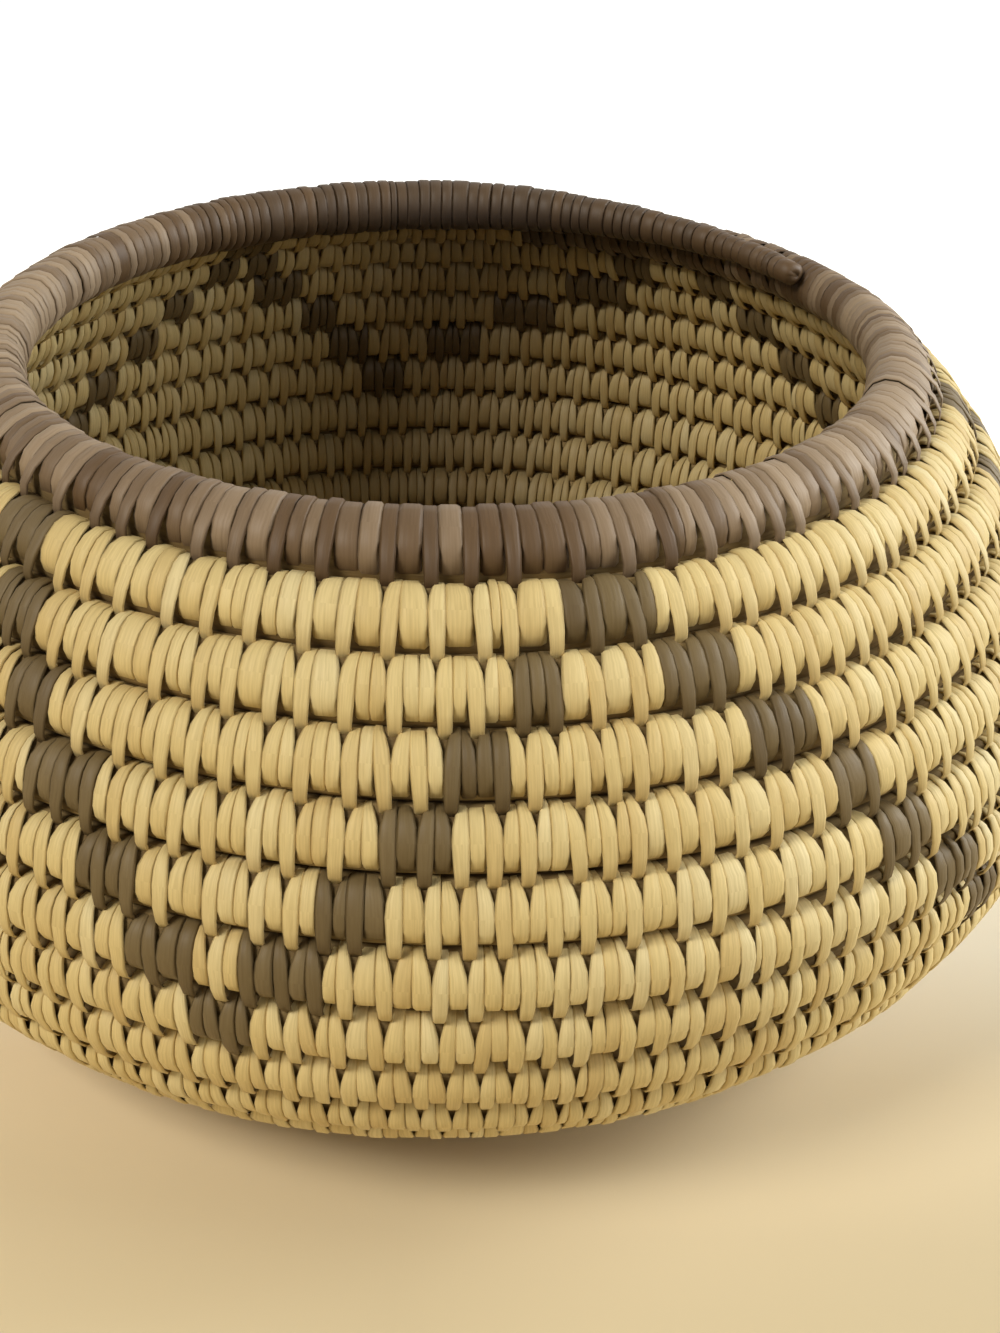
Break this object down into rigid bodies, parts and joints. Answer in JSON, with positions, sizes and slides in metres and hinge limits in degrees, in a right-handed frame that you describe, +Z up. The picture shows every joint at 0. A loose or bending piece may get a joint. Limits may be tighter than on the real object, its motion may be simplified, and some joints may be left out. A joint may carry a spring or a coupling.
{
  "type": "coiled basketry olla",
  "caption": "Coiled basket shaped as a small olla: flat base, full round belly and incurved open mouth, a grass bundle wound in a spiral and sewn with pale and dark splints.",
  "frame": {"origin": "centre of the flat base, on the surface that the basket stands on", "axes": "+Z up through the middle of the mouth, -Y towards the side that the picture shows, +X to its right"},
  "size_m": [0.1548, 0.155, 0.0747],
  "materials": {
    "pale_splint": "split leaf, satin, fine lengthwise fibres",
    "dark_splint": "split seed pod, satin, worn greyish on the ridges",
    "grass": "dry grass stems, matte",
    "knot_splint": "plaited split leaf, satin"
  },
  "bodies": {
    "root": {"start_knot": "knot_splint", "grass_bundle": "grass", "stitch_row_01": "pale_splint", "stitch_row_02": "pale_splint", "stitch_row_03": "pale_splint", "stitch_row_04": "pale_splint", "stitch_row_05": "pale_splint", "stitch_row_06": "pale_splint", "stitch_row_07": "pale_splint", "stitch_row_08": "pale_splint", "stitch_row_09": "pale_splint", "stitch_row_10": "pale_splint", "stitch_row_11": "pale_splint", "stitch_row_12": "pale_splint", "stitch_row_13": "pale_splint", "stitch_row_14": "pale_splint", "stitch_row_15": "pale_splint", "stitch_row_16": "pale_splint", "stitch_row_17": "pale_splint", "stitch_row_18": "pale_splint", "stitch_row_19": "pale_splint", "rim_wrap": "dark_splint"}
  },
  "joints": []
}
